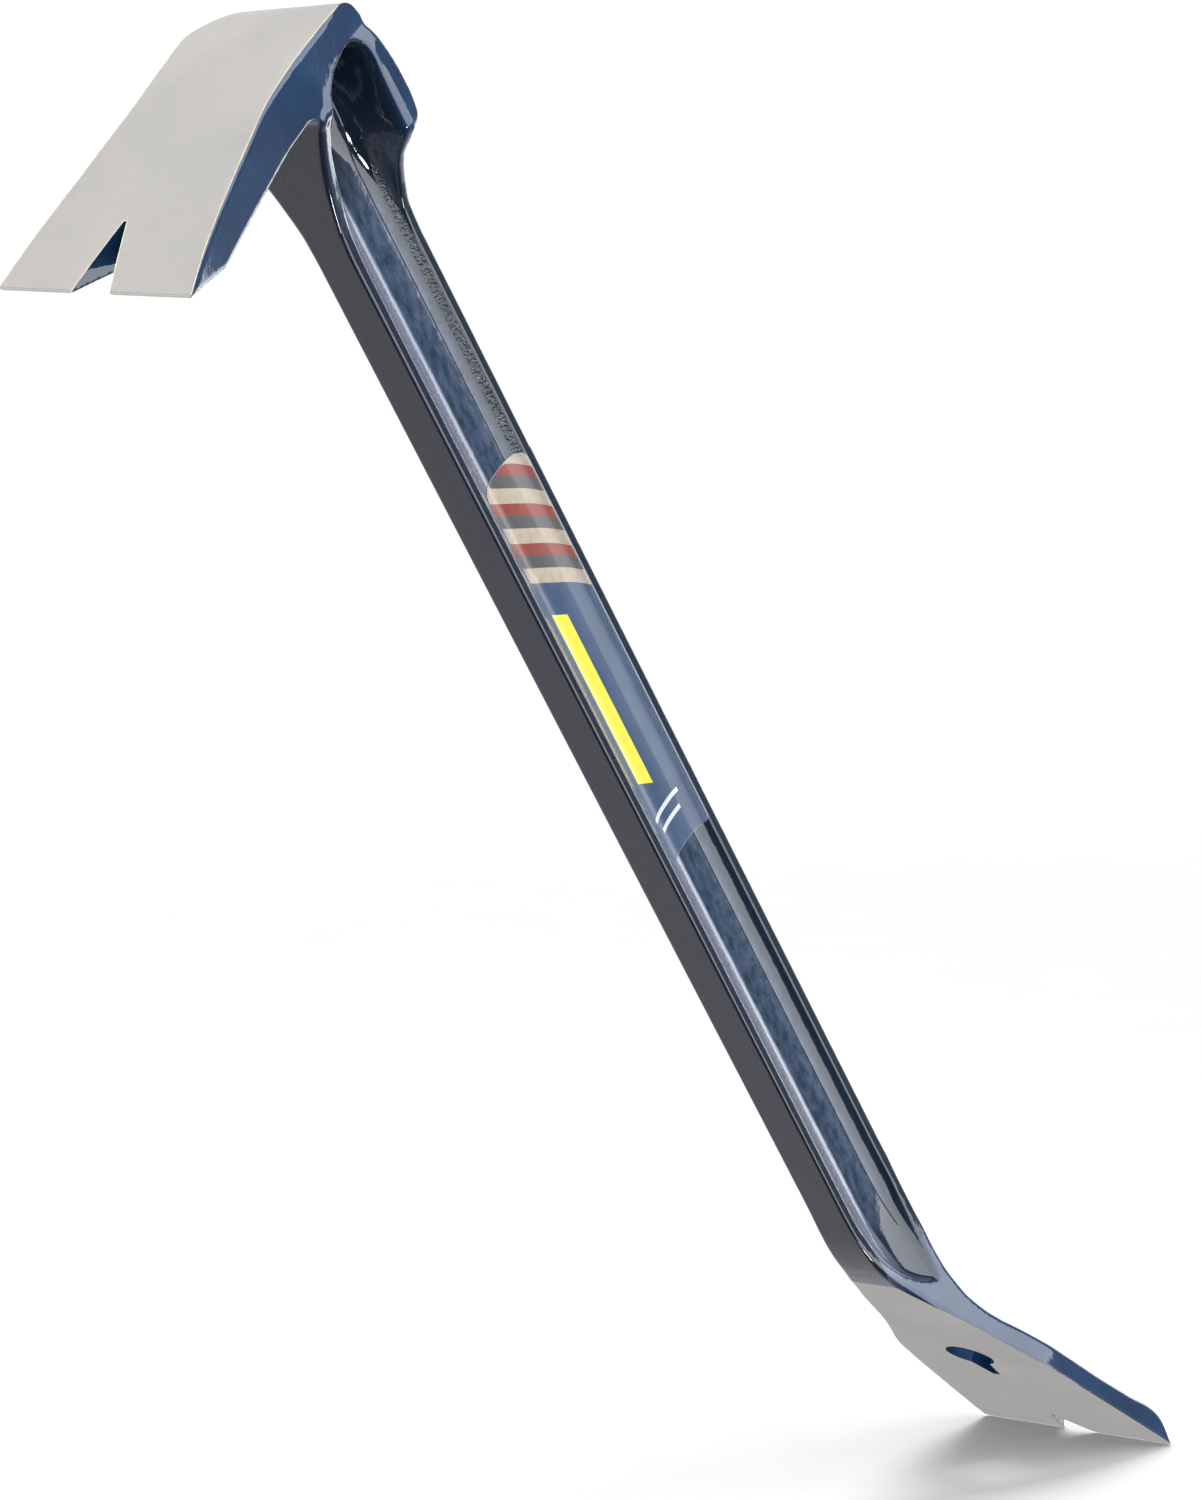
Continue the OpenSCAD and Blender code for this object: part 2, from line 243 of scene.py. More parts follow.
def field(S, Y, D):
    """(painted forging, ground faces), both signed distances, negative inside."""
    head, tip, f_ground, end = ground_field(S, Y, D)
    # --- painted forging
    fade = smoothstep((S - 7.0) / 5.0) * np.clip((-D - 6) / 3, 0, 1)
    proud_top = 1.15 * (1 - fade) - 0.12 * fade
    proud_top = np.where(S > 120, 0.0, proud_top)
    A = head - proud_top
    # width
    low = smoothstep((S - 10) / 6.0)
    h = np.clip((12 - D) / 34.0, 0, 1) * (1 - low) + np.clip((8.2 - D) / 17.6, 0, 1) * low
    mid = middle(D) * smoothstep((27 - S) / 11.0) * (D > -6)
    Wc = plan(D) + middle(D)
    wf = front_w(S)
    claw_zone = smoothstep((D - 7.0) / 5.0) * smoothstep((20.5 - S) / 3.5)
    W = wf + h * (back_w(S) - wf)
    W = W + claw_zone * (Wc + 0.02 * (S - 4) - W)
    gs = np.abs(front_w.slope(S)) * (1 - h) + np.abs(back_w.slope(S)) * h
    gd = np.abs(plan.slope(D)) * claw_zone
    y = np.abs(Y)
    ys = np.where(Y > 0, Y, 2 * mid - Y)
    side = (ys - W) / np.sqrt(1 + gs * gs + gd * gd)
    under = (S - under_claw(D)) / np.sqrt(1 + under_claw.slope(D) ** 2)
    front = (D - paint_front(S)) / np.sqrt(1 + paint_front.slope(S) ** 2)
    U = either(under, front, 3.3)
    rA = (2.3 - 1.1 * smoothstep((S - 30) / 20.0)) * (1 - 0.5 * smoothstep((1 - D) / 8.0) * smoothstep((38 - S) / 5.0))
    rU = 1.35 - 0.75 * smoothstep((S - 30) / 25.0) * smoothstep((356 - S) / 20.0) + 0.75 * smoothstep((S - 345) / 15.0) - 0.2 * smoothstep((20 - S) / 6.0)
    rA = rA + 0.3 * smoothstep((S - 50) / 10.0)
    P = np.maximum(both(A, side, rA), both(U, side, rU))
    P = np.maximum(P, np.maximum(D - TIP_D - 0.6, S - END_S - 0.6))
    # --- side groove, its pocket at the head and its pointed foot
    dy, ds = dish(D)
    base = web_base(S)
    fl = (y - base - dy) / np.sqrt(1 + ds * ds + web_base.slope(S) ** 2)
    deep = np.clip(W - ys, 0, 14)
    wall = groove_in(S, D)
    hd = smoothstep((58 - S) / 30.0)
    wall = wall - (0.08 + 0.17 * hd) * deep * hd
    rf = 0.7 + 4.8 * hd + 1.0 * smoothstep((S - 335) / 15.0)
    G = either(wall, fl, rf)
    re = 0.55 + 0.10 * hd
    P = both(P, G, re)
    # --- V slot in the claw
    c = -2.35 + (D - 51.4) * 0.067
    hw = 0.45 + (D - 51.4) * 0.241
    vee = np.maximum((np.abs(Y - c) - hw) * 0.972, (51.0 - D))
    P = np.where(D > 45, both(P, -vee, 0.45), P)
    # --- V slot and nail hole in the blade
    l = (D + 30.4) * SA + (END_S - S) * CA
    c = 0.5 + l * -0.22
    hw = 4.2 - l * 0.375
    vee = np.maximum((np.abs(Y - c) - hw) * 0.93, l - 10.4)
    P = np.where(S > 430, both(P, -vee, 0.35), P)
    yy = Y + 1.45
    lx = l - 54.2
    circle = np.sqrt(lx * lx + yy * yy) - 5.75
    k = np.clip(-lx / 13.2, 0, 1)
    taper = np.maximum((np.abs(yy - 0.3 * k) - (3.5 - 2.6 * k)) * 0.97, np.maximum(lx, -lx - 13.2))
    hole = np.minimum(circle, taper)
    P = np.where((S > 385) & (S < 430), both(P, -hole, 0.3), P)
    # --- ground faces
    Gf = np.where(S < 120, np.maximum(head, tip), np.maximum(f_ground, end))
    Gf = np.where((S >= 120) & (S < 355), -9.0, Gf)
    return P, Gf


def value(S, Y, D):
    P, G = field(S, Y, D)
    return np.maximum(P, G)


def gradient(fn, p, e=0.06):
    g = np.empty_like(p)
    for k in range(3):
        a, b = p.copy(), p.copy()
        a[:, k] += e
        b[:, k] -= e
        g[:, k] = (fn(*a.T) - fn(*b.T)) / (2 * e)
    return g


def unit(v):
    return v / np.maximum(np.linalg.norm(v, axis=1, keepdims=True), 1e-9)


# ------------------------------------------------------------------ surface nets
def build_surface(step):
    lo = np.array([0.4, -26.4, -35.2])
    hi = np.array([459.2, 26.4, 70.4])
    block = 8
    n = (np.ceil((hi - lo) / step / block).astype(int)) * block
    bn = n // block
    size = block * step
    ctr = [lo[k] + (np.arange(bn[k]) + 0.5) * size for k in range(3)]
    C = np.stack(np.meshgrid(*ctr, indexing="ij"), -1).reshape(-1, 3)
    fc = value(*C.T).reshape(bn)
    F = np.repeat(np.repeat(np.repeat(np.where(fc > 0, 50.0, -50.0).astype(np.float32), block, 0), block, 1), block, 2)
    F = np.pad(F, ((0, 1), (0, 1), (0, 1)), mode="edge")
    near = np.argwhere(np.abs(fc) < size * 0.87 * 1.35 + 0.6)
    o = np.arange(block + 1)
    OI, OJ, OK = np.meshgrid(o, o, o, indexing="ij")
    for s in range(0, len(near), 600):
        b = near[s:s + 600] * block
        I = b[:, 0][:, None] + OI.ravel()
        J = b[:, 1][:, None] + OJ.ravel()
        K = b[:, 2][:, None] + OK.ravel()
        v = value(lo[0] + I.ravel() * step, lo[1] + J.ravel() * step, lo[2] + K.ravel() * step)
        F[I.ravel(), J.ravel(), K.ravel()] = v
    F[F == 0] = 1e-5
    ins = F < 0
    dims = np.array(F.shape) - 1                      # cells
    total = int(np.prod(dims))
    acc = []
    for ax in range(3):
        a = [slice(None)] * 3
        b = [slice(None)] * 3
        a[ax], b[ax] = slice(0, -1), slice(1, None)
        cross = ins[tuple(a)] != ins[tuple(b)]
        idx = np.argwhere(cross)
        va = F[tuple(a)][cross]
        vb = F[tuple(b)][cross]
        t = (va / (va - vb)).astype(float)
        pos = idx.astype(float)
        pos[:, ax] += t
        acc.append((ax, idx, pos, ins[tuple(a)][cross]))
    cells, points = [], []
    quads = []
    for ax, idx, pos, inside_first in acc:
        u, w = (ax + 1) % 3, (ax + 2) % 3
        ok = (idx[:, u] > 0) & (idx[:, w] > 0) & (idx[:, u] < dims[u]) & (idx[:, w] < dims[w])
        idx, pos, inside_first = idx[ok], pos[ok], inside_first[ok]
        four = []
        for du, dw in ((-1, -1), (0, -1), (0, 0), (-1, 0)):
            c = idx.copy()
            c[:, u] += du
            c[:, w] += dw
            lin = (c[:, 0] * dims[1] + c[:, 1]) * dims[2] + c[:, 2]
            four.append(lin)
            cells.append(lin)
            points.append(pos)
        q = np.stack(four, 1)
        q[~inside_first] = q[~inside_first][:, ::-1]
        quads.append(q)
    cells = np.concatenate(cells)
    points = np.concatenate(points)
    uniq, inv = np.unique(cells, return_inverse=True)
    cnt = np.bincount(inv, minlength=len(uniq))
    v = np.stack([np.bincount(inv, weights=points[:, k], minlength=len(uniq)) / cnt for k in range(3)], 1)
    Q = np.searchsorted(uniq, np.concatenate(quads))
    v = lo + v * step
    for it in range(4):
        f = value(*v.T)
        g = gradient(value, v)
        gg = np.maximum((g * g).sum(1), 0.15)
        move = -(f / gg)[:, None] * g
        ln = np.linalg.norm(move, axis=1, keepdims=True)
        v = v + move * np.minimum(1, step * 0.6 / np.maximum(ln, 1e-9)) * (0.9 if it < 3 else 1.0)
    return v, Q


def cut_by(v, Q, g):
    """Cuts the quads along g = 0. Returns vertices, [polygons where g > 0], [polygons where g < 0], ids of the new vertices."""
    g = np.where(np.abs(g) < 1e-4, 1e-4, g)
    pos = g[Q] > 0
    allp, alln = pos.all(1), (~pos).all(1)
    polys_p = [tuple(q) for q in Q[allp].tolist()]
    polys_n = [tuple(q) for q in Q[alln].tolist()]
    new_v, key = [], {}
    base = len(v)
    for q in Q[~(allp | alln)].tolist():
        for tri in ((q[0], q[1], q[2]), (q[0], q[2], q[3])):
            P, N = [], []
            for i in range(3):
                a, b = tri[i], tri[(i + 1) % 3]
                (P if g[a] > 0 else N).append(a)
                if (g[a] > 0) != (g[b] > 0):
                    k = (min(a, b), max(a, b))
                    if k not in key:
                        t = g[a] / (g[a] - g[b])
                        t = min(max(t, 0.04), 0.96)
                        key[k] = base + len(new_v)
                        new_v.append(v[a] * (1 - t) + v[b] * t)
                    P.append(key[k])
                    N.append(key[k])
            if len(P) > 2:
                polys_p.append(tuple(P))
            if len(N) > 2:
                polys_n.append(tuple(N))
    if new_v:
        v = np.concatenate([v, np.array(new_v)])
    return v, polys_p, polys_n, base


def border(polys):
    """Directed edges that only one polygon uses."""
    seen = set()
    for p in polys:
        for i in range(len(p)):
            seen.add((p[i], p[(i + 1) % len(p)]))
    return [e for e in seen if (e[1], e[0]) not in seen]


def make_mesh(name, verts, polys, normals, local, extra=None):
    me = bpy.data.meshes.new(name)
    me.from_pydata(verts.tolist(), [], polys)
    me.polygons.foreach_set("use_smooth", np.ones(len(me.polygons), bool))
    at = me.attributes.new("bar", "FLOAT_VECTOR", "POINT")
    at.data.foreach_set("vector", local.astype(np.float32).ravel())
    for k, a in (extra or {}).items():
        at = me.attributes.new(k, "FLOAT", "POINT")
        at.data.foreach_set("value", a.astype(np.float32))
    me.update()
    if normals is not None:
        me.normals_split_custom_set_from_vertices(normals.tolist())
    ob = bpy.data.objects.new(name, me)
    bpy.context.scene.collection.objects.link(ob)
    return ob


STEP = 0.5
FILM = 0.16
verts, quads = build_surface(STEP)
Pv, Gv = field(*verts.T)
verts, ground_polys, paint_polys, n0 = cut_by(verts, quads, Gv - Pv)
# settle the cut's own vertices on both surfaces
new = verts[n0:]
for _ in range(3):
    gP, gG = gradient(lambda *a: field(*a)[0], new), gradient(lambda *a: field(*a)[1], new)
    fP, fG = field(*new.T)
    a11, a12, a22 = (gP * gP).sum(1), (gP * gG).sum(1), (gG * gG).sum(1)
    det = a11 * a22 - a12 * a12
    ok = det > 0.02
    det = np.where(ok, det, 1)
    x = (-fP * a22 + fG * a12) / det
    yv = (-fG * a11 + fP * a12) / det
    mv = (x[:, None] * gP + yv[:, None] * gG) * ok[:, None]
    ln = np.linalg.norm(mv, axis=1, keepdims=True)
    new = new + mv * np.minimum(1, 0.2 * STEP / np.maximum(ln, 1e-9))
verts[n0:] = new

n_paint = unit(gradient(lambda *a: field(*a)[0], verts))
n_ground = unit(gradient(lambda *a: field(*a)[1], verts))
Pv, Gv = field(*verts.T)
diff = gradient(lambda *a: field(*a)[1] - field(*a)[0], verts)
n_here = np.where((Gv > Pv)[:, None], n_ground, n_paint)
diff = diff - (diff * n_here).sum(1, keepdims=True) * n_here
edge_mm = np.abs(Gv - Pv) / np.maximum(np.linalg.norm(diff, axis=1), 0.04)
edge_mm[n0:] = 0.0


def used(polys, count):
    ids = np.zeros(count, bool)
    for p in polys:
        ids[list(p)] = True
    order = np.nonzero(ids)[0]
    back = np.full(count, -1)
    back[order] = np.arange(len(order))
    return order, back


N = len(verts)
# --- steel: the ground faces, and under the paint the same forging one film lower
p_id, p_map = used(paint_polys, N)
g_id, g_map = used(ground_polys, N)
steel_v = np.concatenate([verts[g_id], verts[p_id] - n_paint[p_id] * (FILM + 0.02)])
steel_n = np.concatenate([n_ground[g_id], n_paint[p_id]])
ng = len(g_id)
steel_polys = [tuple(int(g_map[i]) for i in p) for p in ground_polys]
steel_polys += [tuple(int(p_map[i]) + ng for i in p) for p in paint_polys]
for a, b in border(ground_polys):
    steel_polys.append((int(g_map[b]), int(g_map[a]), int(p_map[a]) + ng, int(p_map[b]) + ng))
steel = make_mesh("ground_steel_forging", to_row(steel_v), steel_polys, turn_row(steel_n),
                  np.concatenate([verts[g_id], verts[p_id]]), {"rim": np.concatenate([edge_mm[g_id], edge_mm[p_id] * 0])})
# --- paint: a closed film over the rest
paint_v = np.concatenate([verts[p_id], verts[p_id] - n_paint[p_id] * FILM])
paint_n = np.concatenate([n_paint[p_id], -n_paint[p_id]])
np_ = len(p_id)
paint_polys2 = [tuple(int(p_map[i]) for i in p) for p in paint_polys]
paint_polys2 += [tuple(int(p_map[i]) + np_ for i in reversed(p)) for p in paint_polys]
for a, b in border(paint_polys):
    paint_polys2.append((int(p_map[b]), int(p_map[a]), int(p_map[a]) + np_, int(p_map[b]) + np_))
# the inner attribute marks the groove and its pocket, where the paint is darkened as painted shade
paint = make_mesh("blue_paint_film", to_row(paint_v), paint_polys2, turn_row(paint_n),
                  np.concatenate([verts[p_id]] * 2), {"rim": np.concatenate([edge_mm[p_id]] * 2),
                                                              "inner": np.concatenate([smoothstep((groove_in(verts[p_id, 0], verts[p_id, 2]) + 0.2) / 0.8)] * 2)})
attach(steel, "root")
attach(paint, "root")
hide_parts("claw_head", "beam_shaft", "pry_blade")
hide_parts("paint_coat")

# ------------------------------------------------------------------ label
# the groove's own cross section, followed by arc length, carries a thin printed sheet
Dq = np.linspace(7.6, -8.3, 400)
Yq = np.full(400, 4.2)
lo_y, hi_y = np.full(400, 0.5), np.full(400, 8.0)
for _ in range(34):
    m = (lo_y + hi_y) / 2
    inside = field(np.full(400, 170.0), m, Dq)[0] < 0
    lo_y, hi_y = np.where(inside, m, lo_y), np.where(inside, hi_y, m)
Yq = (lo_y + hi_y) / 2
arc = np.concatenate([[0], np.cumsum(np.hypot(np.diff(Dq), np.diff(Yq)))])
a0 = np.interp(-6.6, -Dq, arc)
a1 = np.interp(7.75, -Dq, arc)
LS0, LS1 = 118.5, 225.5
rows, cols = 161, 41
rad = 2.2
t = np.linspace(0, 1, cols)
across = a0 + (a1 - a0) * t
Ls = np.linspace(LS0, LS1, rows)
grid = np.zeros((rows, cols, 3))
gn = np.zeros((rows, cols, 3))
for i, s in enumerate(Ls):
    # rounded corners as on a die-cut sticker
    dlo = min(s - LS0, LS1 - s)
    inset = rad - math.sqrt(max(rad * rad - max(rad - dlo, 0) ** 2, 0)) if dlo < rad else 0.0
    aa = a0 + inset + (a1 - a0 - 2 * inset) * t
    dd = np.interp(aa, arc, Dq)
    yy = np.interp(aa, arc, Yq)
    grid[i, :, 0], grid[i, :, 1], grid[i, :, 2] = s, yy, dd
flat = grid.reshape(-1, 3)
gn = unit(gradient(lambda *a: field(*a)[0], flat))
top_v = flat + gn * 0.085
bot_v = flat + gn * 0.012
nv = len(flat)
lp = []
for i in range(rows - 1):
    for j in range(cols - 1):
        a, b, c, d = i * cols + j, i * cols + j + 1, (i + 1) * cols + j + 1, (i + 1) * cols + j
        lp.append((a, b, c, d))
test = np.cross(top_v[lp[0][1]] - top_v[lp[0][0]], top_v[lp[0][2]] - top_v[lp[0][0]])
row_test = np.cross(turn_row(top_v[[lp[0][1]]] - top_v[[lp[0][0]]])[0], turn_row(top_v[[lp[0][2]]] - top_v[[lp[0][0]]])[0])
if row_test @ turn_row(gn[[0]])[0] < 0:
    lp = [tuple(reversed(p)) for p in lp]
allp = list(lp) + [tuple(i + nv for i in reversed(p)) for p in lp]
for a, b in border(lp):
    allp.append((b, a, a + nv, b + nv))
uv_local = np.stack([flat[:, 0] - LS0, np.tile(across - a0, rows), np.zeros(nv)], 1)
label = make_mesh("printed_side_label", to_row(np.concatenate([top_v, bot_v])), allp,
                  turn_row(np.concatenate([gn, -gn])), np.concatenate([uv_local] * 2))
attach(label, "root")
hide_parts("side_label")


# ------------------------------------------------------------------ materials
class Nodes:
    """A short way to write node trees."""

    def __init__(self, name):
        self.m = bpy.data.materials.new(name)
        self.m.use_nodes = True
        self.t = self.m.node_tree
        self.t.nodes.clear()
        self.out = self.t.nodes.new("ShaderNodeOutputMaterial")

    def node(self, kind, **kw):
        n = self.t.nodes.new("ShaderNode" + kind)
        for k, v in kw.items():
            setattr(n, k, v)
        return n

    def put(self, sock, v):
        if isinstance(v, bpy.types.NodeSocket):
            self.t.links.new(v, sock)
        else:
            if isinstance(v, (tuple, list)) and len(v) == 3 and sock.type == "RGBA":
                v = (*v, 1.0)
            sock.default_value = v

    def math(self, op, a, b=0.0, c=0.0, clamp=False):
        n = self.node("Math", operation=op, use_clamp=clamp)
        self.put(n.inputs[0], a)
        if len(n.inputs) > 1:
            self.put(n.inputs[1], b)
        if len(n.inputs) > 2:
            self.put(n.inputs[2], c)
        return n.outputs[0]

    def mix(self, f, a, b, kind="RGBA"):
        n = self.node("Mix", data_type=kind)
        off = {"RGBA": 6, "FLOAT": 2}[kind]
        self.put(n.inputs[0], f)
        self.put(n.inputs[off], a)
        self.put(n.inputs[off + 1], b)
        return n.outputs[{"RGBA": 2, "FLOAT": 0}[kind]]

    def ramp(self, f, stops, interp="LINEAR"):
        n = self.node("ValToRGB")
        n.color_ramp.interpolation = interp
        el = n.color_ramp.elements
        while len(el) > 1:
            el.remove(el[-1])
        el[0].position = stops[0][0]
        el[0].color = (*stops[0][1], 1) if len(stops[0][1]) == 3 else stops[0][1]
        for p, c in stops[1:]:
            e = el.new(p)
            e.color = (*c, 1) if len(c) == 3 else c
        self.put(n.inputs[0], f)
        return n.outputs[0]

    def noise(self, vec, scale, detail=2.0, rough=0.5, dist=0.0):
        n = self.node("TexNoise")
        self.put(n.inputs["Vector"], vec)
        n.inputs["Scale"].default_value = scale
        n.inputs["Detail"].default_value = detail
        n.inputs["Roughness"].default_value = rough
        n.inputs["Distortion"].default_value = dist
        return n.outputs["Fac"]

    def scale(self, vec, s):
        n = self.node("VectorMath", operation="MULTIPLY")
        self.put(n.inputs[0], vec)
        n.inputs[1].default_value = s
        return n.outputs[0]

    def bump(self, height, strength, distance, normal=None):
        n = self.node("Bump")
        n.inputs["Strength"].default_value = strength
        n.inputs["Distance"].default_value = distance
        self.put(n.inputs["Height"], height)
        if normal is not None:
            self.put(n.inputs["Normal"], normal)
        return n.outputs[0]


def srgb(r, g, b):
    return tuple(((c / 255) / 12.92 if c / 255 <= 0.04045 else ((c / 255 + 0.055) / 1.055) ** 2.4) for c in (r, g, b))


# --- ground steel: belt marks across the claw, fine scratches, warm grey
M = Nodes("ground_steel")
bar = M.node("Attribute", attribute_name="bar").outputs["Vector"]
rim = M.node("Attribute", attribute_name="rim").outputs["Fac"]
sep = M.node("SeparateXYZ")
M.put(sep.inputs[0], bar)
long_streak = M.noise(M.scale(bar, (0.10, 2.6, 0.10)), 1.0, 6, 0.65)
cross_streak = M.noise(M.scale(bar, (0.25, 0.9, 0.25)), 1.0, 5, 0.6, 0.4)
cloud = M.noise(M.scale(bar, (0.045, 0.045, 0.045)), 1.0, 3, 0.55)
# slanted scratches left by the belt
tilt = M.node("VectorRotate", rotation_type="AXIS_ANGLE")
M.put(tilt.inputs["Vector"], bar)
tilt.inputs["Axis"].default_value = (1, 0, 0)
tilt.inputs["Angle"].default_value = 0.55
slant = M.noise(M.scale(tilt.outputs[0], (0.05, 0.22, 7.0)), 1.0, 3, 0.6)
base = M.ramp(cloud, [(0.25, srgb(176, 174, 171)), (0.5, srgb(184, 181, 178)), (0.75, srgb(191, 188, 185))])
base = M.mix(M.math("MULTIPLY", long_streak, 0.35), base, srgb(170, 166, 162))
base = M.mix(M.ramp(slant, [(0.56, (0, 0, 0)), (0.68, (0.35, 0.35, 0.35))]), base, srgb(200, 198, 195))
# painted highlight: a thin cream, less metallic line round the ground faces stands in for the highlight along the
# steel's edge
wob = M.math("MULTIPLY_ADD", M.noise(M.scale(bar, (0.6, 0.6, 0.6)), 1.0, 3, 0.6), 0.34, -0.03)
edge_highlight = M.math("LESS_THAN", rim, wob)
base = M.mix(M.math("MULTIPLY", edge_highlight, 0.85), base, srgb(196, 182, 146))
pb = M.node("BsdfPrincipled")
M.put(pb.inputs["Base Color"], base)
M.put(pb.inputs["Metallic"], M.math("SUBTRACT", 0.92, M.math("MULTIPLY", edge_highlight, 0.7)))
M.put(pb.inputs["Roughness"], M.math("MULTIPLY_ADD", cross_streak, 0.16, 0.34))
h = M.math("ADD", M.math("MULTIPLY", long_streak, 0.7), M.math("MULTIPLY", slant, 0.45))
M.put(pb.inputs["Normal"], M.bump(h, 0.16, 0.00012))
pb.inputs["Anisotropic"].default_value = 0.0
M.put(M.out.inputs[0], pb.outputs[0])
mat_steel = M.m

# --- blue paint: dark blue base with fine flake under a glossy coat, orange peel on the forged skin
M = Nodes("blue_paint")
bar = M.node("Attribute", attribute_name="bar").outputs["Vector"]
rim = M.node("Attribute", attribute_name="rim").outputs["Fac"]
sep = M.node("SeparateXYZ")
M.put(sep.inputs[0], bar)
S_, Y_, D_ = sep.outputs
vor = M.node("TexVoronoi")
vor.feature = "F1"
M.put(vor.inputs["Vector"], M.scale(bar, (3.6, 3.6, 3.6)))
vor.inputs["Scale"].default_value = 1.0
flake = M.ramp(vor.outputs["Distance"], [(0.10, (1, 1, 1)), (0.24, (0, 0, 0))])
flake_r = M.node("SeparateColor")
M.put(flake_r.inputs[0], vor.outputs["Color"])
pick = M.math("GREATER_THAN", flake_r.outputs[0], 0.72)
flake = M.math("MULTIPLY", flake, pick)
tone = M.noise(M.scale(bar, (0.11, 0.11, 0.11)), 1.0, 3, 0.55)
base = M.ramp(tone, [(0.3, srgb(4, 33, 62)), (0.55, srgb(5, 39, 70)), (0.75, srgb(6, 45, 76))])
# painted shade and painted reflection, tones read off by colour and not a property of the paint: the groove and its
# pocket are darker and greener for the shade in the recess, the same dark tone lies over the whole shaft, and the web
# gets a mottled lighter slate for the streaky reflection on it
deep = M.node("Attribute", attribute_name="inner").outputs["Fac"]
on_beam = M.math("MULTIPLY", M.math("MULTIPLY", M.math("SUBTRACT", S_, 34.0), 0.06, clamp=True), M.math("MULTIPLY", M.math("SUBTRACT", 362.0, S_), 0.08, clamp=True))
deep = M.math("MAXIMUM", deep, on_beam)
base = M.mix(deep, base, srgb(2, 20, 38))
# painted reflection: a mottled lighter slate on the web floor
web_reflection = M.math("MULTIPLY", M.math("SUBTRACT", 2.9, M.math("ABSOLUTE", Y_)), 1.2, clamp=True)
web_reflection = M.math("MULTIPLY", web_reflection, M.math("MULTIPLY", M.math("SUBTRACT", 8.2, M.math("ABSOLUTE", D_)), 2.0, clamp=True))
base = M.mix(M.math("MULTIPLY", M.math("MULTIPLY", web_reflection, 0.9), on_beam), base, M.ramp(M.noise(M.scale(bar, (0.25, 1.0, 0.6)), 1.0, 3, 0.6), [(0.35, srgb(8, 38, 58)), (0.65, srgb(58, 70, 94))]))
# painted shade: the outer face of the front flange is darkened nearly black in colour, standing in for the dark
# reflection it shows; the outer face of the front flange reads nearly black in the photo; the cause is not
# known
bend = M.math("MAXIMUM", M.math("SUBTRACT", S_, 340.0), 0.0)
limit = M.math("SUBTRACT", 9.7, M.math("MULTIPLY", M.math("MULTIPLY", bend, bend), 0.0075))
front_face_shade = M.math("MULTIPLY", M.math("SUBTRACT", D_, limit), 1.6, clamp=True)
front_face_shade = M.math("MULTIPLY", front_face_shade, M.math("MULTIPLY", M.math("SUBTRACT", S_, 17.0), 0.3, clamp=True))
front_face_shade = M.math("MULTIPLY", front_face_shade, M.math("MULTIPLY", M.math("SUBTRACT", 372.0, S_), 0.25, clamp=True))
base = M.mix(front_face_shade, base, srgb(18, 19, 40))
base = M.mix(M.math("MULTIPLY", flake, 0.5), base, srgb(70, 140, 185))
# painted shade: a thin dark line on the paint along the ground edges stands in for the dark reflection on the rounded
# paint edge
painted_edge_shade = M.math("LESS_THAN", rim, M.math("MULTIPLY_ADD", M.noise(M.scale(bar, (0.9, 0.9, 0.9)), 1.0, 2, 0.5), 0.22, -0.04))
base = M.mix(M.math("MULTIPLY", painted_edge_shade, 0.75), base, srgb(30, 26, 44))
# orange peel and slow waves
peel = M.noise(M.scale(bar, (0.75, 0.75, 0.75)), 1.0, 2.5, 0.55)
wave = M.noise(M.scale(bar, (0.16, 0.30, 0.30)), 1.0, 2, 0.5)
rough_zone = M.ramp(M.math("MULTIPLY_ADD", M.noise(M.scale(bar, (0.05, 0.2, 0.2)), 1.0, 2, 0.5), 0.5, 0.25), [(0.3, (0.3, 0.3, 0.3)), (0.7, (1, 1, 1))])
# fine trim lines where the die halves met, along the inner edge of the front flange
lines = None
for d0, w0, a0_ in ((6.5, 0.10, 1.0), (5.7, 0.08, 0.8), (5.1, 0.10, 1.0), (4.2, 0.07, 0.6), (-3.9, 0.08, 1.0)):
    wobble = M.math("MULTIPLY_ADD", M.noise(M.scale(bar, (0.03, 0.0, 0.0)), 1.0, 2, 0.5), 0.5 if d0 > 0 else 0.1, d0 - (0.25 if d0 > 0 else 0.05))
    dd = M.math("ABSOLUTE", M.math("SUBTRACT", D_, wobble))
    l1 = M.math("MULTIPLY", M.math("SUBTRACT", 1.0, M.math("DIVIDE", dd, w0 * 2), clamp=True), a0_)
    lines = l1 if lines is None else M.math("MAXIMUM", lines, l1)
on_shaft = M.math("MULTIPLY", M.math("GREATER_THAN", S_, 24.0), M.math("LESS_THAN", S_, 352.0))
lines = M.math("MULTIPLY", lines, on_shaft)
# stand-in tint: the photo shows a pale band with dark lines on the slope up to the front flange; it is most
# likely a reflection, which this groove does not catch, so the tone is given by colour here
slope = M.math("MULTIPLY", M.math("MULTIPLY", M.math("SUBTRACT", D_, 2.4), 1.5, clamp=True), M.math("MULTIPLY", M.math("SUBTRACT", 8.5, D_), 4.0, clamp=True))
slope = M.math("MULTIPLY", slope, on_beam)
base = M.mix(M.math("MULTIPLY", slope, 0.55), base, srgb(118, 124, 150))
base = M.mix(M.math("MULTIPLY", lines, 0.85), base, srgb(5, 10, 22))
b1 = M.bump(wave, 0.06, 0.0008)
b2 = M.bump(peel, 0.10, 0.00020, b1)
b3 = M.bump(lines, 0.8, 0.00022, b2)
